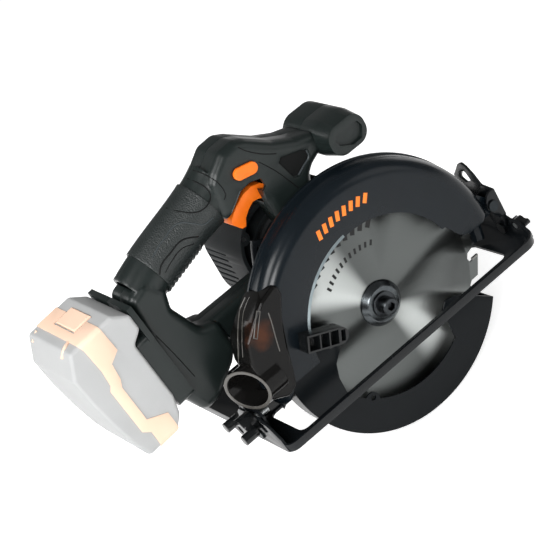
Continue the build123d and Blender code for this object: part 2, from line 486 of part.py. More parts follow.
# Clamping knobs with a round hub and two wings.
def wing_knob(hub, hub_r, wings, y, z, reach, wing_r, turn, stud_r):
    wing_y, wing_z = polar(reach, turn)
    ny, nz = polar(wing_r, turn + 90.0)
    root_y, root_z = polar(hub_r * 0.8, turn + 90.0)
    body = cyl_x(hub_r, *hub, y, z)
    for way in (-1, 1):
        body = body + cyl_x(wing_r, *wings, y + way * wing_y, z + way * wing_z)
        web_corners = [
            (y + root_y, z + root_z),
            (y + way * wing_y + ny, z + way * wing_z + nz),
            (y + way * wing_y - ny, z + way * wing_z - nz),
            (y - root_y, z - root_z),
        ]
        web_x1 = min(max(wings), max(hub))
        web_x0 = max(min(wings), min(hub))
        body = body + prism_x(web_corners, web_x0, web_x1)
    return body - cyl_x(stud_r + RUN, hub[0] - 20, hub[1] + 20, y, z)


rear_hub, rear_wings = (SOLE_REAR - 12.0, SOLE_REAR - AIR), (SOLE_REAR - 18.0, SOLE_REAR - 6.0)
nodes["rear_knob"] = wing_knob(rear_hub, 8.4, rear_wings, STUD_Y, STUD_Z, 11.4, 4.1, 12.0, 3.0)
FENCE_Y, FENCE_Z = -12.5, SOLE_Z + 9.3
front_hub, front_wings = (SOLE_FRONT + AIR, SOLE_FRONT + 6.0), (SOLE_FRONT + 1.4, SOLE_FRONT + 6.6)
nodes["front_knob"] = wing_knob(front_hub, 4.2, front_wings, FENCE_Y, FENCE_Z, 6.6, 2.2, 180.0, 2.5)
nodes["fence_stud"] = cyl_x(2.5, SOLE_FRONT - SHEET, SOLE_FRONT + 5.4, FENCE_Y, FENCE_Z)

# Sole: pressed sheet with a lip all round, a blade slot and a pivot flange at each end.
corner = [(SOLE_REAR, SOLE_RIGHT), (SOLE_FRONT, SOLE_RIGHT)]
corner += [(SOLE_FRONT, SOLE_LEFT), (SOLE_REAR, SOLE_LEFT)]
corner_r = [8.0, 14.0, 8.0, 6.0]
pan = prism_z(corner, SOLE_Z, LIP_Z, corner_r)
well = offset(Plane.XY * outline(corner, corner_r), -SHEET)
pan = pan - extrude(Pos(0, 0, SOLE_TOP) * well, amount=30.0)
slot_points = [(SLOT_REAR, SLOT_RIGHT), (SLOT_FRONT, SLOT_RIGHT)]
slot_points += [(SLOT_FRONT, SLOT_LEFT), (SLOT_REAR, SLOT_LEFT)]
pan = pan - prism_z(slot_points, SOLE_Z - 5, SOLE_TOP + 5, 6.0)
rear_points = [(-33, 0.5), (-29, 10.5), (-20, 18.5), (-8, 24.3), (0, 25.5), (18, 25.5), (23, 21.5)]
rear_points += [(29, 7.5), (34, 3.5), (34, 0.5)]
pan = pan + Pos(0, 0, SOLE_Z) * prism_x(rear_points, SOLE_REAR, SOLE_REAR + SHEET)
front_points = [(-27, 0.5), (-27, 6), (-18, 13), (-8, 14.5), (0, 18), (6, 22), (20, 23.5), (28, 15.5)]
front_points += [(33, 3.5), (33, 0.5)]
pan = pan + Pos(0, 0, SOLE_Z) * prism_x(front_points, SOLE_FRONT - SHEET, SOLE_FRONT)
for end in (SOLE_REAR, SOLE_FRONT):
    pan = pan - cyl_x(BEVEL_PIN_R + 0.01, end - 8, end + 8, BEVEL_Y, BEVEL_Z)
bevel_arc = arc_slot(BEVEL_SLOT_R, 3.5, 83.0, 156.0, BEVEL_Y, BEVEL_Z)
pan = pan - prism_x(bevel_arc, SOLE_REAR - 5, SOLE_REAR + 8)
nodes["sole_plate"] = pan - cyl_x(2.5, SOLE_FRONT - 8, SOLE_FRONT + 8, FENCE_Y, FENCE_Z)
front_rivet = cyl_x(BEVEL_PIN_R, BRACKET_X0 - 1.8, SOLE_FRONT + 1.4, BEVEL_Y, BEVEL_Z)
front_rivet = front_rivet + cyl_x(4.6, BRACKET_X0 - 1.8, BRACKET_X0 - 0.5, BEVEL_Y, BEVEL_Z)
front_rivet = front_rivet + cyl_x(3.9, SOLE_FRONT, SOLE_FRONT + 1.4, BEVEL_Y, BEVEL_Z)
rear_rivet = cyl_x(BEVEL_PIN_R, SOLE_REAR - 1.4, TAB_X1 + 1.8, BEVEL_Y, BEVEL_Z)
rear_rivet = rear_rivet + cyl_x(3.9, TAB_X1 + 0.5, TAB_X1 + 1.8, BEVEL_Y, BEVEL_Z)
rear_rivet = rear_rivet + cyl_x(3.9, SOLE_REAR - 1.4, SOLE_REAR, BEVEL_Y, BEVEL_Z)
nodes["bevel_rivets"] = Compound(children=[front_rivet, rear_rivet])


# Handle: two hollow mouldings meeting on the middle plane of the grip.
GRIP = [
    (-52.0, 140.0, 24.0, 19.5),
    (-66.0, 136.5, 21.0, 18.0),
    (-95.0, 129.0, 19.5, 16.5),
    (-126.0, 119.7, 19.5, 16.5),
    (-146.0, 111.0, 20.0, 17.5),
]


def oval(x, z, half_h, half_w):
    turn = math.radians(GRIP_PITCH)
    plane = Plane(origin=(x, HANDLE_Y, z), x_dir=(0, 1, 0), z_dir=(math.cos(turn), 0, math.sin(turn)))
    return plane * Ellipse(half_w, half_h)


def grip_body(grow, first, last):
    return loft([oval(x, z, h + grow, w + grow) for x, z, h, w in GRIP[first:last]])


TRUNK = [(-68, 115), (-63, 150), (-56.5, 157), (-43.5, 165.8), (-30, 166.5), (-21.5, 162), (-3, 147)]
TRUNK += [(12, 138.7), (30, 133), (30, 118), (16.5, 112.3), (11, 107.8), (8.5, 100), (8, 82)]
TRUNK += [(-26, 82), (-29, 96), (-29.5, 112), (-32.5, 121), (-38, 124), (-46, 121.5)]
TRUNK_CORNER = [9.0] * 17 + [6.0, 6.0, 9.0]
FOOT = [(-158, 118), (-159, 30), (-150, 9), (-136, 11), (-113, 27), (-105, 37), (-107, 62)]
FOOT += [(-121, 66), (-132, 92), (-128, 108), (-140, 124)]
FOOT_CORNER, EDGE = 8.0, 7.0
ARM = [(-124, 40), (-124, 64), (-46, 64), (-46, 40)]
trunk = prism_y(TRUNK, HANDLE_Y - 20, HANDLE_Y + 20, TRUNK_CORNER)
trunk = fillet(side_edges(trunk), EDGE)
foot = prism_y(FOOT, 22, 58, FOOT_CORNER)
foot = fillet(side_edges(foot), EDGE)
arm_body = prism_y(ARM, 28, 52)
arm_body = fillet(arm_body.edges().filter_by(Axis.X), 6.0)

# Front bar: a rounded oval across the saw, tapered and dished at its right end.
BAR_X, BAR_Z, BAR_W, BAR_H = 43.0, UPPER_R + 12.3, 38.0, 29.0


def bar_section(y, less):
    corner = min(BAR_W, BAR_H) / 2 - less / 2 - 1.5
    return Plane.XZ.offset(-y) * Pos(BAR_X, BAR_Z) * RectangleRounded(BAR_W - less, BAR_H - less, corner)


bar = loft([bar_section(70, 9.0), bar_section(64, 0.0)], ruled=True)
bar = bar + loft([bar_section(64, 0.0), bar_section(22, 0.0)], ruled=True)
bar = bar + loft([bar_section(22, 0.0), bar_section(4, 5.0)], ruled=True)
dish = [(-11.5, 2.2), (-9, 5.4), (11.5, 4.8), (13.6, -1), (9.5, -8.6), (0.5, -9), (-9.5, -3)]
bar = bar - Pos(BAR_X, 0, BAR_Z) * prism_y(dish, 3.0, 7.5, 1.6)
recess = [(13.4, 128.7), (-4.7, 134.7), (-8.6, 131), (-3.3, 114.4), (0.8, 112.7)]
recess += [(16.2, 120.1), (16.9, 126.1)]
trunk = trunk - prism_y(recess, 19.0, 21.8, 1.5)
shell_body = grip_body(0.0, 0, 5) + trunk + foot + arm_body + bar

trunk_in = extrude(Plane.XZ.offset(-57) * offset(outline(TRUNK, TRUNK_CORNER), -WALL - 1.5), amount=34)
foot_in = extrude(Plane.XZ.offset(-55) * offset(outline(FOOT, FOOT_CORNER), -WALL - 1.5), amount=30)
arm_in = block(-115, -50, 31, 49, 43, 61)
bar_in = extrude(bar_section(63, 6.0), amount=40)
neck_in = block(8, 40, 28, 52, 122, 129)
shell_body = shell_body - grip_body(-WALL, 0, 5) - trunk_in - foot_in - arm_in - bar_in - neck_in

# Clearance bodies of what the handle sits on.
seat = case_body(CASE_Y0, COVER_Y1 + 0.1, 0.1) + prism_y(
    [(-61.7, 11.8), (-61.7, 106.2), (31.2, 106.2), (31.2, 11.8)], COVER_Y1 - 0.1, MOTOR_Y1 + 1, 36.0
)
for px, pz in CASE_SCREWS[:2]:
    seat = seat + cyl_y(boss_r + 0.1, CASE_Y0, COVER_Y1 + 0.1, px, pz)
shell_body = shell_body - seat
pocket = [(-62, 100), (-62, 132), (-19.2, 132), (-19.2, 110), (-29.6, 110), (-29.6, 100)]
shell_body = shell_body - prism_y(pocket, 30.4, 49.6)
trigger_room = [(-67, 117), (-55, 126.5), (-44.5, 133), (-35, 134), (-26, 131), (-25.5, 124), (-28.8, 121)]
shell_body = shell_body - prism_y(trigger_room + [(-28.8, 100), (-67, 100)], 10.0, 30.5)
SWITCH_X0, SWITCH_X1, SWITCH_Z0, SWITCH_Z1 = -76.0, -52.0, 133.0, 147.0
shelf = block(SWITCH_X0 + 3, SWITCH_X0 + 7, 21, 59, 110, SWITCH_Z0 - 0.1)
shell_body = shell_body + (shelf & grip_body(-0.5, 0, 5))
shell_body = shell_body - block(SWITCH_X0 - 0.3, SWITCH_X1 + 0.3, 28.7, 51.3, SWITCH_Z0, SWITCH_Z1 + 0.3)

# Dock for the battery behind the foot, leaning with the battery.
DOCK_RX, PACK_X = -171.6, -172.0
lean = Pos(DOCK_X, 0, DOCK_Z) * Rot(0, DOCK_TILT, 0) * Pos(-DOCK_X, 0, -DOCK_Z)
dock = block(DOCK_RX, -157.0, 10, 70, 34, 96)
dock = fillet(dock.edges().filter_by(Axis.X), 5.0)
dock = dock + block(-161.4, -157.0, 9, 71, 90, 121)
dock = dock + block(-175.0, DOCK_RX, 24, 56, 36, 95) + block(-178.0, -175.0, 19, 61, 36, 95)
shell_body = shell_body + lean * dock - lean * block(-180, -160.2, 31, 49, 40, 90)
SCREWS = [(-44.0, 156.0), (4.0, 128.0), (-141.0, 100.0), (-140.0, 28.0), (-115.0, 50.0)]
for px, pz in SCREWS:
    shell_body = shell_body + cyl_y(5.4, HANDLE_Y - 17.2, HANDLE_Y + 17.2, px, pz)
    shell_body = shell_body - cyl_y(1.7, 28.0, 62.0, px, pz) - cyl_y(3.9, 47.0, 62.0, px, pz)
nodes["housing_screws"] = Compound(
    children=[cyl_y(1.6, 29.0, 47.0, px, pz) + cyl_y(3.6, 47.0, 49.4, px, pz) for px, pz in SCREWS]
)
PIN_X, PIN_Z = -24.5, 117.0
shell_body = shell_body - cyl_y(2.0, 23.8, 56.2, PIN_X, PIN_Z)
nodes["trigger_pin"] = cyl_y(2.0, 24.0, 56.0, PIN_X, PIN_Z)
LOCKOFF_X, LOCKOFF_Z = -34.0, 143.5


def capsule(length, width, y0, y1):
    face = Plane.XZ.offset(-y1) * Pos(LOCKOFF_X, LOCKOFF_Z) * Rot(0, 0, -12.0) * SlotOverall(length, width)
    return extrude(face, amount=y1 - y0)


shell_body = shell_body - capsule(20.8, 9.8, 10.0, 24.0)
button = capsule(20.0, 9.0, 18.2, 24.0) + capsule(24.0, 13.0, 23.6, 26.0)
nodes["lock_off_button"] = button
right = shell_body & block(-300, 200, -50, HANDLE_Y - SKIN, -100, 300)
left = shell_body & block(-300, 200, HANDLE_Y + SKIN, 200, -100, 300)
left = left - block(-61.7, 31.2, HANDLE_Y, 120, 0, 106.2)
nodes["housing_right"] = right
nodes["housing_left"] = left

# Soft overmould round the grip.
sleeve = grip_body(1.4, 0, 5) - grip_body(0.03, 0, 5) - trunk - foot
span = Pos(-98.0, HANDLE_Y, 128.0) * Rot(0, -GRIP_PITCH, 0) * Box(62.0, 80.0, 80.0)
nodes["grip_overmould"] = sleeve & span

# Trigger, switch and terminal block.
trigger_points = [(-58.5, 110.5), (-53.5, 103.5), (-50, 103), (-46.8, 108.6), (-41.4, 112.6), (-36.2, 115.2)]
trigger_points += [(-31, 114.2), (-25, 111.5), (-21, 113.5), (-20.5, 119), (-23.5, 122.8), (-31, 125.6)]
trigger_points += [(-40, 124.6), (-50, 120), (-57, 114.5)]
trigger = prism_y(trigger_points, 31.0, 49.0, 1.0)
nodes["trigger"] = trigger - cyl_y(2.0 + RUN, 20, 60, PIN_X, PIN_Z)
switch = block(SWITCH_X0, SWITCH_X1, 29, 51, SWITCH_Z0, SWITCH_Z1)
nodes["switch_body"] = switch + block(-57, -54, 38, 42, 121.5, SWITCH_Z0 + 1)
blades = block(-163.5, -160.5, 31.2, 48.8, 41, 89)
for i in range(4):
    y_mid = 33.6 + i * 4.27
    blades = blades + block(-176.0, -163.0, y_mid - 0.5, y_mid + 0.5, 58, 76)
nodes["terminal_block"] = lean * blades

# Battery: case sliding up off the dock, cells in a row, coloured band and latch.
PACK = [(-162, 118), (-162, 105), (PACK_X, 98), (PACK_X, 48), (-176, 34), (-184, 25.5), (-212, 25.5)]
PACK += [(-216, 40), (-219.5, 62), (-222, 88), (-222.5, 110), (-213, 128), (-174, 128)]
BAND = [(-185.5, 140), (-184.3, 106), (-193.6, 101), (-195.2, 88), (-198.1, 82), (-198.3, 50), (-183.3, 42)]
BAND += [(-183.6, 20), (-201.7, 20), (-201.1, 40), (-206.4, 45), (-206.4, 85.5), (-203.7, 89), (-202.4, 102)]
BAND += [(-203.3, 123), (-208, 140)]
PACK_Y0, PACK_Y1, PACK_CORNER, PACK_EDGE, BAND_T = 5.0, 75.0, 4.0, 3.0, 0.8
pack = prism_y(PACK, PACK_Y0, PACK_Y1, PACK_CORNER)
pack = fillet(side_edges(pack), PACK_EDGE)
grown = Plane.XZ.offset(-PACK_Y1 - BAND_T) * offset(outline(PACK, PACK_CORNER), BAND_T)
grown = extrude(grown, amount=PACK_Y1 - PACK_Y0 + 2 * BAND_T)
grown = fillet(side_edges(grown), PACK_EDGE + BAND_T)
LATCH = (-196.0, -180.0, 25.0, 55.0)
band = (grown - pack) & prism_y(BAND, 0, 80)
band = band - block(LATCH[0] - 1.5, LATCH[1] + 1.5, LATCH[2] - 1.5, LATCH[3] + 1.5, 120, 140)
nodes["battery_band"] = lean * band
CELL_X, CELL_Z = -199.0, 25.5 + 2.9 + CELL_D / 2
room = Plane.XZ.offset(-72.8) * offset(outline(PACK, PACK_CORNER), -2.5)
room = extrude(room, amount=65.6) & block(-230, -184.5, 0, 80, 20, 120.5)
pack = pack - block(-178.4, -174.6, 18.6, 61.4, 20, 95.5) - block(-176, -171, 23.6, 56.4, 20, 95.5)
pack = pack - block(-182.0, -177, 31, 49, 20, 92) - room
pack = pack - block(LATCH[0] - 0.4, LATCH[1] + 0.4, LATCH[2] - 0.4, LATCH[3] + 0.4, 121.4, 135)
nodes["battery_case"] = lean * pack
nodes["battery_latch"] = lean * fillet(block(*LATCH, 124.6, 129.6).faces().sort_by(Axis.Z)[-1].edges(), 1.2)
cell_list = []
for i in range(CELLS):
    cell_list.append(lean * cyl_y(CELL_D / 2, 7.5, 7.5 + CELL_L, CELL_X, CELL_Z + i * (CELL_D + 0.1)))
nodes["battery_cells"] = Compound(children=cell_list)

for name, shape in nodes.items():
    moved = Pos(-(SOLE_REAR + SOLE_FRONT) / 2, -(SOLE_RIGHT + SOLE_LEFT) / 2, -SOLE_Z) * shape
    export_step(moved, "parts/" + name + ".step")
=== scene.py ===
import math

import bpy
from mathutils import Matrix, Vector


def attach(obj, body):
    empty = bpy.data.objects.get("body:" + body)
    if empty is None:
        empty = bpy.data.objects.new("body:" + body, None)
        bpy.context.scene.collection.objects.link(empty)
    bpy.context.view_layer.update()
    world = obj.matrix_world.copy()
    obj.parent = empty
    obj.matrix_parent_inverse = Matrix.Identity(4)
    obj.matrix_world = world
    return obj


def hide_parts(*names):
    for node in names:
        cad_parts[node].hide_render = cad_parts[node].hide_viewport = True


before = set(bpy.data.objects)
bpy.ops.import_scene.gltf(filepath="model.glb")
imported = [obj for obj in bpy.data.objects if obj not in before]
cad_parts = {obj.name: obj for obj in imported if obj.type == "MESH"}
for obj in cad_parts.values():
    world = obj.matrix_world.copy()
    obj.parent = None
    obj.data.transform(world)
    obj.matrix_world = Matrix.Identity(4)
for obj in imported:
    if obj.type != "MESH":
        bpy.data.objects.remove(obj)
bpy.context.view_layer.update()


# Sole plate, front bracket and depth guide: steel sheet, pressed out and folded up at the edges.
# Each is dipped black after folding, and rivets and a bolt hold them to each other.
def hex_colour(text):
    parts = [int(text[i : i + 2], 16) / 255 for i in (1, 3, 5)]
    return [p / 12.92 if p <= 0.04045 else ((p + 0.055) / 1.055) ** 2.4 for p in parts] + [1.0]


def start_material(name):
    made = bpy.data.materials.new(name)
    made.use_nodes = True
    made.node_tree.nodes.clear()
    return made


def add_node(tree, kind, inputs, **settings):
    made = tree.nodes.new(kind)
    for name, value in settings.items():
        setattr(made, name, value)
    for name, value in inputs.items():
        if isinstance(value, bpy.types.NodeSocket):
            tree.links.new(value, made.inputs[name])
        else:
            made.inputs[name].default_value = value
    return made


GRAIN_DEPTH = 0.0003


# Clouds of two close tones, a dullness that follows them, and a fine raised grain.
# Clouds and grain are given by their width in millimetres.
def surface(name, deep, pale, cloud_mm, rough, grain_mm, grain, shine=0.5, metallic=0.0):
    made = start_material(name)
    tree = made.node_tree
    place = add_node(tree, "ShaderNodeTexCoord", {}).outputs["Object"]
    wide = {"Vector": place, "Scale": 1000 / cloud_mm, "Detail": 3.0}
    cloud = add_node(tree, "ShaderNodeTexNoise", wide).outputs["Fac"]
    tones = {0: cloud, 6: hex_colour(deep), 7: hex_colour(pale)}
    shade = add_node(tree, "ShaderNodeMix", tones, data_type="RGBA")
    uneven = {"Value": cloud, "To Min": rough * 0.85, "To Max": rough * 1.15}
    dull = add_node(tree, "ShaderNodeMapRange", uneven)
    fine = {"Vector": place, "Scale": 1000 / grain_mm, "Detail": 2.0}
    speck = add_node(tree, "ShaderNodeTexNoise", fine)
    raised = {"Height": speck.outputs["Fac"], "Strength": grain, "Distance": GRAIN_DEPTH}
    bump = add_node(tree, "ShaderNodeBump", raised)
    shader = add_node(
        tree,
        "ShaderNodeBsdfPrincipled",
        {
            "Base Color": shade.outputs[2],
            "Roughness": dull.outputs["Result"],
            "Metallic": metallic,
            "Specular IOR Level": shine,
            "Normal": bump.outputs["Normal"],
        },
    )
    add_node(tree, "ShaderNodeOutputMaterial", {"Surface": shader.outputs["BSDF"]})
    return made


def dress(piece, name, body, node, material):
    piece.name = name
    piece.data.materials.clear()
    piece.data.materials.append(material)
    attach(piece, body)
    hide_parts(node)
    return piece


SAME_POINT = 0.000002
SHARP = math.radians(35)


# A copy of the node with its sharp edges rounded over by edge_mm, or left as they are at 0.
def finished(node, body, material, edge_mm):
    piece = bpy.data.objects.new(node + "_finished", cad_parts[node].data.copy())
    bpy.context.scene.collection.objects.link(piece)
    bpy.ops.object.select_all(action="DESELECT")
    bpy.context.view_layer.objects.active = piece
    piece.select_set(True)
    bpy.ops.object.mode_set(mode="EDIT")
    bpy.ops.mesh.select_all(action="SELECT")
    bpy.ops.mesh.remove_doubles(threshold=SAME_POINT)
    bpy.ops.object.mode_set(mode="OBJECT")
    if edge_mm:
        edge = piece.modifiers.new("edge", "BEVEL")
        edge.width = edge_mm / 1000
        edge.segments = 2
        edge.limit_method = "ANGLE"
        edge.angle_limit = SHARP
        edge.use_clamp_overlap = True
        edge.harden_normals = False
        bpy.ops.object.modifier_apply(modifier="edge")
    bpy.ops.object.shade_smooth_by_angle(angle=SHARP)
    return dress(piece, node + "_finished", body, node, material)


# Dipped black coat: fine peel a millimetre wide, clouded shine, nearly black.
sole_coat = surface("black dip coat on steel", "#0B0D0E", "#121518", 30, 0.26, 1.1, 0.1, 0.25)
finished("sole_plate", "base", sole_coat, 0.5)
finished("front_bracket", "tilt_frame", sole_coat, 0.4)
finished("depth_guide", "tilt_frame", sole_coat, 0.4)


# Studs, rivets, screws, pins and the spring: steel, turned, headed or wound.
# They are screwed or riveted in, zinc plated or blackened.
def coated(material, *nodes):
    for node in nodes:
        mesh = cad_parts[node].data
        mesh.materials.clear()
        mesh.materials.append(material)


# Zinc plate: pale cool grey with thin haze.
zinc = surface("bright zinc plate", "#A9ADAE", "#C6C9C9", 6, 0.3, 0.5, 0.08, 0.5, 1.0)
coated(zinc, "bevel_stud", "fence_stud", "depth_bolt", "depth_bush", "lever_screw", "trigger_pin")
coated(zinc, "housing_screws", "motor_screws", "guard_screws", "guard_retainer", "guard_spring", "spindle")
# Blacking: dark grey steel with a dull shine.
blacked = surface("blackened steel", "#26292B", "#34383A", 6, 0.36, 0.5, 0.1, 0.5, 1.0)
coated(blacked, "bevel_rivets", "depth_pin", "inner_flange")

# Wing knobs, guard lever, depth lever and spindle lock: black nylon, moulded in polished tools.
# The knobs turn on studs, the lever is screwed to the lower guard, and the lock slides in the case.
# Polished nylon: close to black, sharp highlights with soft edges, faint ripple.
polished = surface("polished black nylon", "#0A0B0C", "#131516", 12, 0.17, 2.0, 0.06, 0.3)
finished("rear_knob", "rear_knob", polished, 0.5)
finished("front_knob", "front_knob", polished, 0.5)
finished("depth_lever", "depth_lever", polished, 0.4)
finished("guard_lever", "lower_guard", polished, 0.4)
finished("spindle_lock", "spindle_lock", polished, 0.3)

# Guard stop: a moulded rubber block, pushed into the case where the lower guard comes to rest.
# Stop rubber: dull black, slightly gritty.
stop_rubber = surface("black stop rubber", "#101112", "#191A1B", 5, 0.7, 0.5, 0.2, 0.3)
coated(stop_rubber, "guard_stop")

# Upper and lower guard: an alloy casting, and a drawn steel shell that swings inside it.
# The casting is sprayed satin charcoal with a blue cast, and the shell satin black.
# Satin paint: soft broad highlight along the round rim, fine peel, faint clouds.
guard_coat = surface("satin charcoal paint", "#0A1014", "#12181D", 35, 0.25, 1.4, 0.08, 0.2)
finished("upper_guard", "head", guard_coat, 0.6)
lower_coat = surface("satin black paint", "#080B0D", "#0E1215", 35, 0.3, 1.4, 0.08, 0.12)
finished("lower_guard", "lower_guard", lower_coat, 0)


# Chamfer round the eye of the guard: a narrow band of the casting in pale grey, a painted highlight laid
# only along the stretch where light catches it.
# It is modelled as a thin slanted strip, spun about the arbor.
ARBOR_X, ARBOR_Y, ARBOR_Z = 3.0, -33.5, 27.5


# A place given in millimetres from the arbor.
def spot(x, y, z):
    return Vector((x + ARBOR_X, y + ARBOR_Y, z + ARBOR_Z)) / 1000


EYE_R, EYE_Y = 71.6, -15.0
BAND_WIDE, BAND_THICK, BAND_SLANT = 0.0026, 0.0006, math.radians(-22)
BAND_START, BAND_SWEEP = math.radians(-15), math.radians(-70)
eye_centre = spot(0, EYE_Y, 0)
bpy.ops.object.select_all(action="DESELECT")
bpy.ops.mesh.primitive_plane_add(size=1.0, location=spot(-EYE_R, EYE_Y, 0.0))
band = bpy.context.object
band.scale = (BAND_WIDE, BAND_THICK, 1.0)
band.rotation_euler = (0, 0, BAND_SLANT)
bpy.ops.object.transform_apply(location=True, rotation=True, scale=True)
bpy.ops.object.mode_set(mode="EDIT")
bpy.ops.mesh.select_all(action="SELECT")
bpy.ops.transform.rotate(value=BAND_START, orient_axis="Y", center_override=eye_centre)
bpy.ops.mesh.spin(steps=44, angle=BAND_SWEEP, center=eye_centre, axis=(0, 1, 0))
bpy.ops.mesh.select_all(action="SELECT")
bpy.ops.mesh.normals_make_consistent(inside=False)
bpy.ops.object.mode_set(mode="OBJECT")
bpy.ops.object.shade_smooth_by_angle(angle=math.radians(30))
# Painted highlight: pale blue grey with fine turning haze.
eye_chamfer_highlight = surface("painted highlight on eye chamfer", "#7F8B8F", "#98A3A6", 8, 0.35, 0.4, 0.1, 0.5, 0.7)
dress(band, "guard_eye_chamfer", "head", "upper_guard", eye_chamfer_highlight)


# Stripes on the guard's flat face: orange film, cut and stuck on in a row about the arbor.
# One slanted stripe is modelled, and the others are copies turned about the arbor.
def joined(pieces):
    bpy.ops.object.select_all(action="DESELECT")
    for piece in pieces:
        piece.select_set(True)
    bpy.context.view_layer.objects.active = pieces[0]
    bpy.ops.object.join()
    return bpy.context.object


def copied(piece, moves):
    row = [piece]
    for move in moves:
        twin = bpy.data.objects.new(piece.name, piece.data.copy())
        bpy.context.scene.collection.objects.link(twin)
        twin.data.transform(move)
        row.append(twin)
    return joined(row)


MARK_THICK, MARK_EDGE = 0.0002, 0.00008


# Slanted marks in a row about the arbor: the first at first_turn degrees, the rest step apart.
def marks(count, first_turn, step, radius, y, wide, tall, slant):
    turn = math.radians(first_turn)
    bpy.ops.object.select_all(action="DESELECT")
    place = spot(radius * math.cos(turn), y, radius * math.sin(turn))
    bpy.ops.mesh.primitive_cube_add(size=1.0, location=place)
    mark = bpy.context.object
    mark.scale = (wide / 1000, MARK_THICK, tall / 1000)
    mark.rotation_euler = (0, math.radians(90 - first_turn + slant), 0)
    bpy.ops.object.transform_apply(location=True, rotation=True, scale=True)
    bpy.ops.object.mode_set(mode="EDIT")
    bpy.ops.mesh.select_all(action="SELECT")
    bpy.ops.mesh.bevel(offset=MARK_EDGE, segments=1)
    bpy.ops.object.mode_set(mode="OBJECT")
    there = Matrix.Translation(spot(0, 0, 0))
    turns = [Matrix.Rotation(math.radians(step * i), 4, "Y") for i in range(1, count)]
    return copied(mark, [there @ turned @ there.inverted() for turned in turns])


# Film: flat bright orange, faintly mottled.
film = surface("orange film", "#F2741A", "#FF8A2B", 4, 0.4, 0.6, 0.05, 0.4)
stripes = marks(8, 105, 4.3, radius=86.8, y=-15.08, wide=3.4, tall=7.6, slant=22)
dress(stripes, "guard_stripes", "head", "upper_guard", film)

# Dust chute: a hood and a tube of smoked plastic, moulded in one and snapped over the guard.
# Smoked plastic: brown black and glossy, with a ragged warm glow painted into the colour where light comes
# through the hood.
smoke = surface("smoked plastic", "#0C0C0C", "#121110", 14, 0.12, 3.0, 0.05, 0.13)
tree = smoke.node_tree
place = tree.nodes["Texture Coordinate"].outputs["Object"]
shader = tree.nodes["Principled BSDF"]
# Painted light: a warm patch mixed into the base colour round one point on the hood, with a ragged edge.
PAINTED_GLOW_MM, PAINTED_GLOW_AT, PAINTED_GLOW_DRIFT = 11, spot(-99, -16, 53), 0.009
rags = {"Vector": place, "Scale": 1000 / PAINTED_GLOW_MM, "Detail": 2.0}
ragged = add_node(tree, "ShaderNodeTexNoise", rags)
in_or_out = {"Value": ragged.outputs["Fac"], "To Min": -PAINTED_GLOW_DRIFT, "To Max": PAINTED_GLOW_DRIFT}
drift = add_node(tree, "ShaderNodeMapRange", in_or_out)
away_from = add_node(tree, "ShaderNodeVectorMath", {0: place, 1: PAINTED_GLOW_AT}, operation="DISTANCE")
both = {0: away_from.outputs["Value"], 1: drift.outputs["Result"]}
reach = add_node(tree, "ShaderNodeMath", both, operation="ADD")
fade = {"From Min": 0.002, "From Max": 0.013, "To Min": 0.5, "To Max": 0.0}
painted_glow_fade = add_node(tree, "ShaderNodeMapRange", {"Value": reach.outputs["Value"], **fade})
cold = shader.inputs["Base Color"].links[0].from_socket
tones = {0: painted_glow_fade.outputs["Result"], 6: cold, 7: hex_colour("#5A3018")}
glow = add_node(tree, "ShaderNodeMix", tones, data_type="RGBA")
tree.links.new(glow.outputs[2], shader.inputs["Base Color"])
finished("dust_chute", "head", smoke, 0.5)


# Ribs and flow lines of the chute: raised edges of the same moulding, with their highlights painted on in
# pale grey.
# Each is a bead laid along the hood.
def traced(points):
    bpy.ops.object.select_all(action="DESELECT")
    bpy.ops.mesh.primitive_plane_add(size=0.001, location=spot(*points[0]))
    line = bpy.context.object
    bpy.ops.object.mode_set(mode="EDIT")
    bpy.ops.mesh.select_all(action="SELECT")
    bpy.ops.mesh.merge(type="CENTER")
    for here, there in zip(points, points[1:]):
        step = spot(*there) - spot(*here)
        bpy.ops.mesh.extrude_region_move(TRANSFORM_OT_translate={"value": step})
    return line


def bead(points, radius_mm, bend="AUTOMATIC"):
    line = traced(points)
    bpy.ops.object.mode_set(mode="OBJECT")
    bpy.ops.object.convert(target="CURVE")
    bpy.ops.object.mode_set(mode="EDIT")
    bpy.ops.curve.select_all(action="SELECT")
    bpy.ops.curve.spline_type_set(type="BEZIER")
    bpy.ops.curve.handle_type_set(type=bend)
    bpy.ops.object.mode_set(mode="OBJECT")
    line.data.bevel_depth = radius_mm / 1000
    line.data.bevel_resolution = 2
    line.data.resolution_u = 6
    line.data.use_fill_caps = True
    bpy.ops.object.convert(target="MESH")
    bpy.ops.object.transform_apply(location=True, rotation=True, scale=True)
    bpy.ops.object.shade_smooth_by_angle(angle=math.radians(50))
    return bpy.context.object


# Pale edge and painted highlight: milky grey, dull.
pale_edge_and_highlight = surface("pale smoked edge and painted highlight", "#3F3D3A", "#575551", 5, 0.3, 0.8, 0.1, 0.5)
rib = [(-105.4, -17.7, 55.2), (-103.4, -17.7, 53.0), (-91.0, -17.6, 68.6), (-93.2, -17.6, 70.4)]
rib += [rib[0]]
flow = [(-86.3, -17.6, 63.3), (-87.6, -17.6, 56.9), (-89.4, -17.6, 49.7)]
flow += [(-91.6, -17.6, 41.4), (-93.4, -17.6, 33.5)]
outer = [(-117, 5.4, 33.9), (-116.1, 1, 40.8), (-114, -1.6, 47.5), (-112.3, -3.7, 53)]
outer += [(-105.8, 0.2, 59.1), (-98.7, 3.9, 64.9), (-94.8, 5.6, 67.6), (-87.5, 4.5, 72.7)]
inner = [(-115.6, -6.1, 42.5), (-113.5, -8.2, 49), (-111, -9.3, 54.8), (-105.6, -5.4, 59.3)]
inner += [(-100.1, -2.2, 63.9), (-94.7, 0.4, 67.6), (-86.1, 0, 73.3)]
beads = [bead(rib, 0.45, "VECTOR"), bead(flow, 0.45), bead(outer, 0.5), bead(inner, 0.35)]
dress(joined(beads), "chute_ribs", "head", "dust_chute", pale_edge_and_highlight)
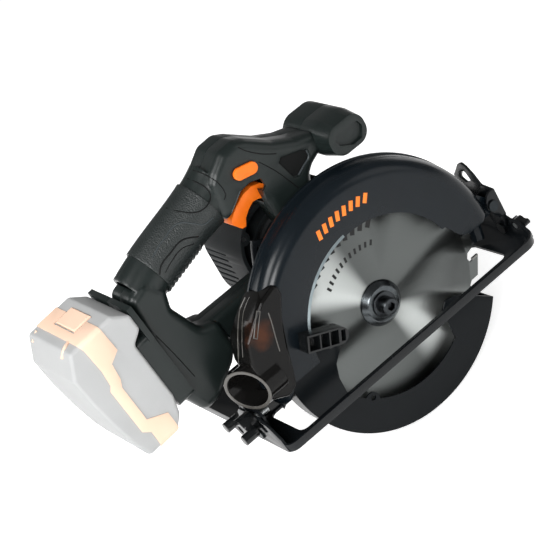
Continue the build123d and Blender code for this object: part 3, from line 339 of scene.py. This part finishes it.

# Rim of the chute's mouth: the cut end of the tube, in a paler grey than the tube.
# It is a flat ring with rounded edges, laid on the tube's slanted end.
MOUTH_AT, MOUTH_TURN = spot(-124.7, -4.6, 18.2), math.radians(-59.04)
MOUTH_HALF_WIDE, MOUTH_HALF_TALL = 0.0188, 0.0177
RIM_WIDE, RIM_THICK, RIM_EDGE = 0.0026, 0.0006, 0.0003
bpy.ops.object.select_all(action="DESELECT")
bpy.ops.mesh.primitive_circle_add(vertices=72, radius=1.0, fill_type="NGON", location=MOUTH_AT)
mouth = bpy.context.object
mouth.scale = (MOUTH_HALF_WIDE, MOUTH_HALF_TALL, 1.0)
mouth.rotation_euler = (math.radians(90), 0, MOUTH_TURN)
bpy.ops.object.transform_apply(location=True, rotation=True, scale=True)
bpy.ops.object.mode_set(mode="EDIT")
bpy.ops.mesh.select_all(action="SELECT")
bpy.ops.mesh.inset(thickness=RIM_WIDE)
bpy.ops.mesh.delete(type="FACE")
bpy.ops.object.mode_set(mode="OBJECT")
thick = mouth.modifiers.new("thick", "SOLIDIFY")
thick.thickness = RIM_THICK
thick.offset = 1.0
bpy.ops.object.modifier_apply(modifier="thick")
round_off = mouth.modifiers.new("round", "BEVEL")
round_off.width = RIM_EDGE
round_off.segments = 2
bpy.ops.object.modifier_apply(modifier="round")
bpy.ops.object.shade_smooth_by_angle(angle=SHARP)
dress(mouth, "chute_mouth_rim", "head", "dust_chute", pale_edge_and_highlight)

# Blade: a steel plate, ground on both sides round the bore, with carbide tips brazed on.
# It is clamped between two flanges by the arbor bolt.
# Ground steel: fine rings about the bore, and two bright fans opposite each other, a painted highlight.
blade_metal = start_material("ground saw steel")
tree = blade_metal.node_tree
place = add_node(tree, "ShaderNodeTexCoord", {}).outputs["Object"]
RING_MM, RING_SHARE, PAINTED_FAN_AXIS = 0.35, 0.25, (-0.574, 0.0, 0.819)
arbor = spot(0, 0, 0)
centre = add_node(tree, "ShaderNodeVectorMath", {0: place, 1: arbor}, operation="SUBTRACT")
no_depth = {0: centre.outputs["Vector"], 1: (1.0, 0.0, 1.0)}
flat = add_node(tree, "ShaderNodeVectorMath", no_depth, operation="MULTIPLY").outputs["Vector"]
far = add_node(tree, "ShaderNodeVectorMath", {0: flat}, operation="LENGTH")
steps = {"W": far.outputs["Value"], "Scale": 1000 / RING_MM, "Detail": 3.0}
rings = add_node(tree, "ShaderNodeTexNoise", steps, noise_dimensions="1D")
facing = add_node(tree, "ShaderNodeVectorMath", {0: flat}, operation="NORMALIZE")
along = {0: facing.outputs["Vector"], 1: PAINTED_FAN_AXIS}
toward = add_node(tree, "ShaderNodeVectorMath", along, operation="DOT_PRODUCT")
either = add_node(tree, "ShaderNodeMath", {0: toward.outputs["Value"]}, operation="ABSOLUTE")
narrow = {"Value": either.outputs["Value"], "From Min": 0.87, "From Max": 1.0}
fan = add_node(tree, "ShaderNodeMapRange", narrow, interpolation_type="SMOOTHSTEP")
# The fans are a painted highlight: a pale tone mixed into the colour along one axis through the arbor, on
# both sides.
tones = {0: fan.outputs["Result"], 6: hex_colour("#606362"), 7: hex_colour("#B8BCBA")}
ground = add_node(tree, "ShaderNodeMix", tones, data_type="RGBA")
tones = {0: RING_SHARE, 6: ground.outputs[2], 7: rings.outputs["Fac"]}
tone = add_node(tree, "ShaderNodeMix", tones, data_type="RGBA", blend_type="MULTIPLY")
uneven = {"Value": rings.outputs["Fac"], "To Min": 0.25, "To Max": 0.36}
dull = add_node(tree, "ShaderNodeMapRange", uneven)
spin = add_node(tree, "ShaderNodeTangent", {}, direction_type="RADIAL", axis="Y")
shader = add_node(
    tree,
    "ShaderNodeBsdfPrincipled",
    {
        "Base Color": tone.outputs[2],
        "Metallic": 1.0,
        "Roughness": dull.outputs["Result"],
        "Anisotropic": 0.9,
        "Anisotropic Rotation": 0.25,
        "Tangent": spin.outputs["Tangent"],
    },
)
add_node(tree, "ShaderNodeOutputMaterial", {"Surface": shader.outputs["BSDF"]})
finished("blade", "blade_set", blade_metal, 0)
# Carbide: darker grey than the plate, finely speckled.
carbide = surface("brazed carbide", "#6B6B69", "#83837F", 2, 0.4, 0.3, 0.1, 0.5, 0.8)
coated(carbide, "blade_tips")

# Strokes on the blade: black ink, printed in two rows on the ground face.
# Ink: dense black with a slight mottle.
ink = surface("black ink", "#0B0B0B", "#1A1A1A", 3, 0.5, 0.5, 0.05, 0.3)
long_row = marks(10, 129, 6.6, radius=63.0, y=-0.86, wide=4.0, tall=8.0, slant=22)
short_row = marks(11, 130, 6.0, radius=47.5, y=-0.86, wide=2.0, tall=4.4, slant=14)
strokes = joined([long_row, short_row])
dress(strokes, "blade_strokes", "blade_set", "blade", ink)

# Outer flange, washer and arbor bolt: turned steel, blackened, the flange's cone polished after.
# The bolt screws into the spindle and clamps the flange on the blade.
# Flange steel: clouded mid grey with a sharp shine.
cone = surface("turned flange steel", "#3C4042", "#5A5E60", 3, 0.24, 0.4, 0.06, 0.5, 1.0)
finished("outer_flange", "blade_set", cone, 0.3)
# Bolt steel: dark grey, faintly clouded.
bolt_steel = surface("oiled bolt steel", "#2E3032", "#434648", 4, 0.3, 0.4, 0.08, 0.5, 1.0)
finished("bolt_washer", "blade_set", bolt_steel, 0.2)
finished("arbor_bolt", "blade_set", bolt_steel, 0.3)

# Gear case and cover: die cast alloy, painted dark, screwed to each other and to the guard.
# Cast paint: dull dark grey, slightly lumpy.
cast_paint = surface("dark paint on die casting", "#16191B", "#1F2325", 18, 0.45, 1.6, 0.12, 0.4)
finished("gear_case", "head", cast_paint, 0.4)
finished("gear_cover", "head", cast_paint, 0.4)

# Motor housing: a black nylon drum, moulded with slots and ribs, screwed to the gear cover.
# The fan, the switch body and the terminal block are of the same nylon.
# Matt nylon: even dark grey with a fine spark texture.
drum = surface("matt black nylon", "#131617", "#1B1E1F", 25, 0.5, 0.6, 0.2, 0.1)
finished("motor_housing", "head", drum, 0.4)
coated(drum, "cooling_fan", "switch_body", "terminal_block")

# Motor, gears and bearings inside the drum and the gear case: steel, copper, ferrite and carbon.
# They are turned, stamped or pressed, and held by the housings round them.
# Oiled gear steel: mid grey with thin haze.
gear_steel = surface("oiled gear steel", "#737678", "#8B8E8F", 5, 0.32, 0.4, 0.08, 0.5, 1.0)
coated(gear_steel, "output_gear", "idler_gear", "motor_shaft")
coated(gear_steel, "spindle_bearings", "motor_bearings", "motor_can")
# Stamped core sheet: darker grey, dull.
core_steel = surface("stamped core sheet", "#4A4C4D", "#5E6061", 3, 0.45, 0.5, 0.12, 0.5, 1.0)
coated(core_steel, "armature_core")
# Copper: warm red brown.
copper = surface("drawn copper", "#A8653C", "#C07C50", 3, 0.3, 0.4, 0.06, 0.5, 1.0)
coated(copper, "commutator")
# Ferrite and carbon: charcoal, dull and slightly gritty.
ferrite = surface("pressed ferrite", "#252627", "#313233", 3, 0.65, 0.4, 0.2, 0.3)
coated(ferrite, "magnets", "brushes")

# Handle: two nylon mouldings, screwed together on the middle plane of the grip.
# Satin nylon: green black, soft wide sheen, fine spark texture.
nylon = surface("satin black nylon", "#121817", "#1B2221", 40, 0.34, 0.6, 0.2, 0.3)
finished("housing_right", "head", nylon, 0.5)
finished("housing_left", "head", nylon, 0.5)

# Parting and panel lines of the handle: shallow grooves of the moulding.
# They are drawn as thin dark beads, half sunk in the nylon.
# Groove shadow: painted shade, black and dull.
groove = surface("groove shadow", "#060707", "#0D0E0E", 6, 0.7, 0.8, 0.1, 0.2)
trunk_line = [(-21.5, 20, 142.3), (-17.3, 20, 135.3), (-12.5, 20, 126.5), (-8.4, 20, 116.6)]
trunk_line += [(-4.4, 20, 106.6)]
neck_line = [(-29.5, 20.4, 161.1), (-26.9, 20, 156.7), (-22.8, 20, 151.8), (-18.4, 20, 147.4)]
neck_line += [(-12.7, 20, 142.8), (-6.6, 20, 138.7)]
hump_line = [(-61.5, 36.8, 161.1), (-60, 31, 159.2), (-58, 25.3, 155.1), (-57, 21.2, 151.9)]
hump_line += [(-56, 20, 148.1), (-55.3, 20, 142.4), (-56.1, 20, 137.8), (-58.7, 20.1, 135.8)]
foot_line = [(-153.4, 22.3, 85.2), (-148.9, 22, 63.1), (-145, 22, 40)]
panel = [bead(line, 0.4) for line in (trunk_line, neck_line, hump_line, foot_line)]
dress(joined(panel), "handle_grooves", "head", "housing_right", groove)

# Crease of the trunk over the trigger: the edge where two faces of the moulding meet, with its highlight
# painted on as a pale bead.
# Painted highlight on nylon: lighter grey than the faces, soft shine.
nylon_edge_highlight = surface("painted highlight on nylon edge", "#2B3032", "#363C3E", 10, 0.4, 0.6, 0.1, 0.4)
crease = [(-44.8, 20, 133.3), (-49.5, 20, 130.2), (-54.2, 20, 127.1), (-58.5, 20.5, 124.0)]
dress(bead(crease, 0.45), "trunk_crease", "head", "housing_right", nylon_edge_highlight)


# Three-sided recess in the handle's right side: a hollow of the moulding that saves plastic.
# Its floor's shade is painted as a thin dark plate, and the highlight on its lit wall as a pale bead along
# the far edge.
def plate(points, thick_mm):
    sheet = traced(points)
    bpy.ops.mesh.select_all(action="SELECT")
    bpy.ops.mesh.edge_face_add()
    thick = {"value": (0, thick_mm / 1000, 0)}
    bpy.ops.mesh.extrude_region_move(TRANSFORM_OT_translate=thick)
    bpy.ops.mesh.select_all(action="SELECT")
    bpy.ops.mesh.normals_make_consistent(inside=False)
    bpy.ops.object.mode_set(mode="OBJECT")
    bpy.ops.object.transform_apply(location=True, rotation=True, scale=True)
    return sheet


hollow = [(13.0, 21.5, 127.6), (-4.2, 21.5, 133.4), (-7.4, 21.5, 130.6), (-2.6, 21.5, 115.4)]
hollow += [(0.9, 21.5, 113.9), (15.0, 21.5, 120.8), (15.6, 21.5, 125.6)]
dress(plate(hollow, 0.25), "recess_floor", "head", "housing_right", groove)
wall = [(15.8, 20.9, 125.6), (15.2, 20.9, 120.6), (8.0, 20.9, 117.0), (1.2, 20.9, 113.8)]
dress(bead(wall, 0.8), "recess_wall", "head", "housing_right", nylon_edge_highlight)

# Grip sleeve: soft rubber, moulded over the nylon, with a stippled face.
# Stippled rubber: pebbles about a millimetre across, dull black.
rubber = surface("stippled rubber", "#141919", "#1D2322", 30, 0.42, 0.6, 0.1, 0.5)
tree = rubber.node_tree
place = tree.nodes["Texture Coordinate"].outputs["Object"]
PEBBLE_MM, PEBBLE_DEPTH = 1.1, 0.0004
pebble = add_node(tree, "ShaderNodeTexVoronoi", {"Vector": place, "Scale": 1000 / PEBBLE_MM})
raised = {"Height": pebble.outputs["Distance"], "Strength": 0.5, "Distance": PEBBLE_DEPTH}
stipple = add_node(tree, "ShaderNodeBump", raised, invert=True)
tree.links.new(stipple.outputs["Normal"], tree.nodes["Principled BSDF"].inputs["Normal"])
finished("grip_overmould", "head", rubber, 0.4)

# Collar, pad lines and border of the sleeve: grooves and a raised edge of the same rubber.
# They are beads laid along the grip, dark for the painted shade in the grooves and pale for the painted
# highlight on the border.
collar = [(-68, 38.2, 158.2), (-65.9, 28.8, 154.4), (-64.2, 24.5, 149.2), (-65.3, 22.7, 143.4)]
collar += [(-70.4, 21.3, 140.4), (-75.5, 21.8, 139.5), (-81, 22.8, 140.8), (-89.2, 27.9, 146.8)]
collar += [(-93.2, 37.3, 150.9)]
pad = [(-127.8, 22.1, 120.7), (-123.4, 22.6, 125.1), (-112.3, 22.6, 128.4), (-101.4, 22.4, 130.7)]
pad += [(-95.7, 22.1, 129), (-88.4, 22.7, 124.6)]
inner = [(-123.3, 22.2, 119.1), (-116.4, 22.3, 122.3), (-103.3, 22.3, 125.5), (-93.8, 23.1, 122.1)]
dark_lines = joined([bead(collar, 0.5), bead(pad, 0.6), bead(inner, 0.4)])
dress(dark_lines, "grip_grooves", "head", "grip_overmould", groove)
border = [(-124.9, 25.5, 132.8), (-116.1, 26.1, 136.5), (-109.3, 26.1, 138.5), (-99.3, 26.1, 141.4)]
border += [(-93.7, 24.7, 140.8), (-87.3, 22.3, 135.8), (-80.2, 21.8, 129.8), (-72, 21.7, 129.6)]
dress(bead(border, 0.6), "grip_border", "head", "grip_overmould", nylon_edge_highlight)

# Finger ribs under the grip: ten rounded bars of the sleeve's rubber, moulded across it.
# One is laid round the underside of the grip and copied along it.
RIB_COUNT, RIB_STEP = 10, Vector((3.9, 0, 1.12)) / 1000
RIB_TURNS = (-35, -55, -75, -90, -105, -125, -145)
RIB_X, RIB_Z, RIB_DEEP = -124.0, 120.4, 20.9
GRIP_Y, GRIP_HALF_WIDE = 40, 17.8
arc = [math.radians(turn) for turn in RIB_TURNS]
round_grip = [(GRIP_Y - GRIP_HALF_WIDE * math.cos(a), RIB_Z + RIB_DEEP * math.sin(a)) for a in arc]
first_rib = bead([(RIB_X, y, z) for y, z in round_grip], 1.3)
ribs = copied(first_rib, [Matrix.Translation(RIB_STEP * i) for i in range(1, RIB_COUNT)])
dress(ribs, "finger_ribs", "head", "grip_overmould", rubber)

# Trigger and lock-off button: moulded orange nylon. The trigger turns on a pin in the handle,
# and the button slides across it.
# Orange nylon: bright, even, soft highlights.
orange = surface("orange nylon", "#F26A10", "#FF7F1E", 10, 0.4, 0.8, 0.06, 0.4)
finished("trigger", "trigger", orange, 0.6)
finished("lock_off_button", "lock_off", orange, 0.6)

# Battery: a pale grey case with a peach band and latch, moulded and screwed from below.
# It slides up off the dock, and two short ticks run down from the band at the rear.
# Pale plastic: light grey or peach with faint clouds and a fine spark texture.
pack_grey = surface("pale grey plastic", "#A4A5A5", "#B0B1B1", 30, 0.5, 0.7, 0.12, 0.3)
finished("battery_case", "battery", pack_grey, 0.5)
pack_peach = surface("pale peach plastic", "#E8C5AC", "#F0CFB8", 30, 0.5, 0.7, 0.12, 0.3)
finished("battery_band", "battery", pack_peach, 0.3)
finished("battery_latch", "battery_latch", pack_peach, 0.5)
left_tick = [(-212.9, 67.8, 124.7), (-220, 66.7, 120)]
right_tick = [(-209.6, 20.4, 125), (-215.1, 17.4, 124.5), (-220.3, 17.8, 119.4)]
ticks = joined([bead(left_tick, 1.0), bead(right_tick, 1.3)])
dress(ticks, "battery_ticks", "battery", "battery_case", pack_peach)
# Cell sleeve: thin teal film shrunk round each cell, smooth, with soft highlights.
sleeve = surface("shrunk cell sleeve", "#2C6B66", "#357A74", 8, 0.3, 0.6, 0.05, 0.5)
coated(sleeve, "battery_cells")

# Floor: a wide sheet of white paper under the saw.
# Paper: white to the eye and in reflections, with the saw's soft shadow kept on it.
FLOOR_SIZE, FLOOR_Z, PAPER_GLOW = 6.0, -0.0715, 0.6
bpy.ops.object.select_all(action="DESELECT")
bpy.ops.mesh.primitive_plane_add(size=FLOOR_SIZE, location=(0, 0, FLOOR_Z))
floor = bpy.context.object
floor.name = "floor"
bpy.ops.object.transform_apply(location=True, rotation=True, scale=True)
paper = start_material("white paper sweep")
tree = paper.node_tree
path = add_node(tree, "ShaderNodeLightPath", {}).outputs
in_sight = path["Is Camera Ray"]
for ray in ("Is Glossy Ray", "Is Transmission Ray"):
    either = add_node(tree, "ShaderNodeMath", {0: in_sight, 1: path[ray]}, operation="MAXIMUM")
    in_sight = either.outputs["Value"]
sheet = add_node(tree, "ShaderNodeBsdfDiffuse", {"Color": hex_colour("#FFFFFF")}).outputs[0]
lit = {"Color": hex_colour("#FFFFFF"), "Strength": PAPER_GLOW}
glow = add_node(tree, "ShaderNodeEmission", lit)
bright = add_node(tree, "ShaderNodeAddShader", {0: sheet, 1: glow.outputs[0]})
seen = add_node(tree, "ShaderNodeMixShader", {0: in_sight, 1: sheet, 2: bright.outputs[0]})
add_node(tree, "ShaderNodeOutputMaterial", {"Surface": seen.outputs[0]})
floor.data.materials.append(paper)

# Camera: stands on the saw's right, a little to the rear, looks down on it and leans to one side.
# Its distance and lens put the arbor SHIFT_PX right of and below the middle of the picture.
AZIMUTH, HEIGHT, LEAN = math.radians(-20.6), math.radians(26.9), math.radians(-29.9)
DISTANCE, FOCAL_PX, PICTURE_PX, SENSOR_MM = 1.452, 1959.0, 560, 36.0
SHIFT_PX = (99.9, 22.4)
level = math.cos(HEIGHT)
away = Vector((math.sin(AZIMUTH) * level, -math.cos(AZIMUTH) * level, math.sin(HEIGHT)))
side = (-away).cross(Vector((0, 0, 1))).normalized()
upright = side.cross(-away)
right = math.cos(LEAN) * side + math.sin(LEAN) * upright
up = -math.sin(LEAN) * side + math.cos(LEAN) * upright
metre_px = DISTANCE / FOCAL_PX
stand = arbor - right * SHIFT_PX[0] * metre_px + up * SHIFT_PX[1] * metre_px + away * DISTANCE
lens = bpy.data.cameras.new("camera")
lens.sensor_width = SENSOR_MM
lens.lens = FOCAL_PX / PICTURE_PX * SENSOR_MM
lens.clip_start = 0.05
camera = bpy.data.objects.new("camera", lens)
bpy.context.scene.collection.objects.link(camera)
turn = Matrix((right, up, away)).transposed().to_4x4()
camera.matrix_world = Matrix.Translation(stand) @ turn
bpy.context.scene.camera = camera


# Light: five square softboxes turned to the saw, and an even dim room.
# The key and the left box draw the highlights, the rim, fill and back boxes open the far sides.
AIM = Vector((0, 0, 0.05))


def softbox(name, place, size, power):
    lamp = bpy.data.lights.new(name, "AREA")
    lamp.size = size
    lamp.energy = power
    holder = bpy.data.objects.new(name, lamp)
    bpy.context.scene.collection.objects.link(holder)
    holder.location = place
    toward_saw = AIM - Vector(place)
    holder.rotation_euler = toward_saw.to_track_quat("-Z", "Y").to_euler()


softbox("key", (-0.85, -1.28, 0.73), 0.5, 19.0)
softbox("left", (-1.0, -0.3, 1.1), 0.6, 15.0)
softbox("rim", (-0.8, 1.0, 0.6), 0.6, 3.5)
softbox("fill", (1.1, -1.1, 0.5), 0.8, 3.0)
softbox("back", (1.6, 0.7, 0.3), 0.8, 4.0)
ROOM_LIGHT = 0.22
world = bpy.data.worlds.new("studio")
bpy.context.scene.world = world
world.use_nodes = True
tree = world.node_tree
tree.nodes.clear()
dim = {"Color": hex_colour("#FFFFFF"), "Strength": ROOM_LIGHT}
room = add_node(tree, "ShaderNodeBackground", dim)
add_node(tree, "ShaderNodeOutputWorld", {"Surface": room.outputs[0]})
bpy.context.scene.view_settings.view_transform = "Standard"
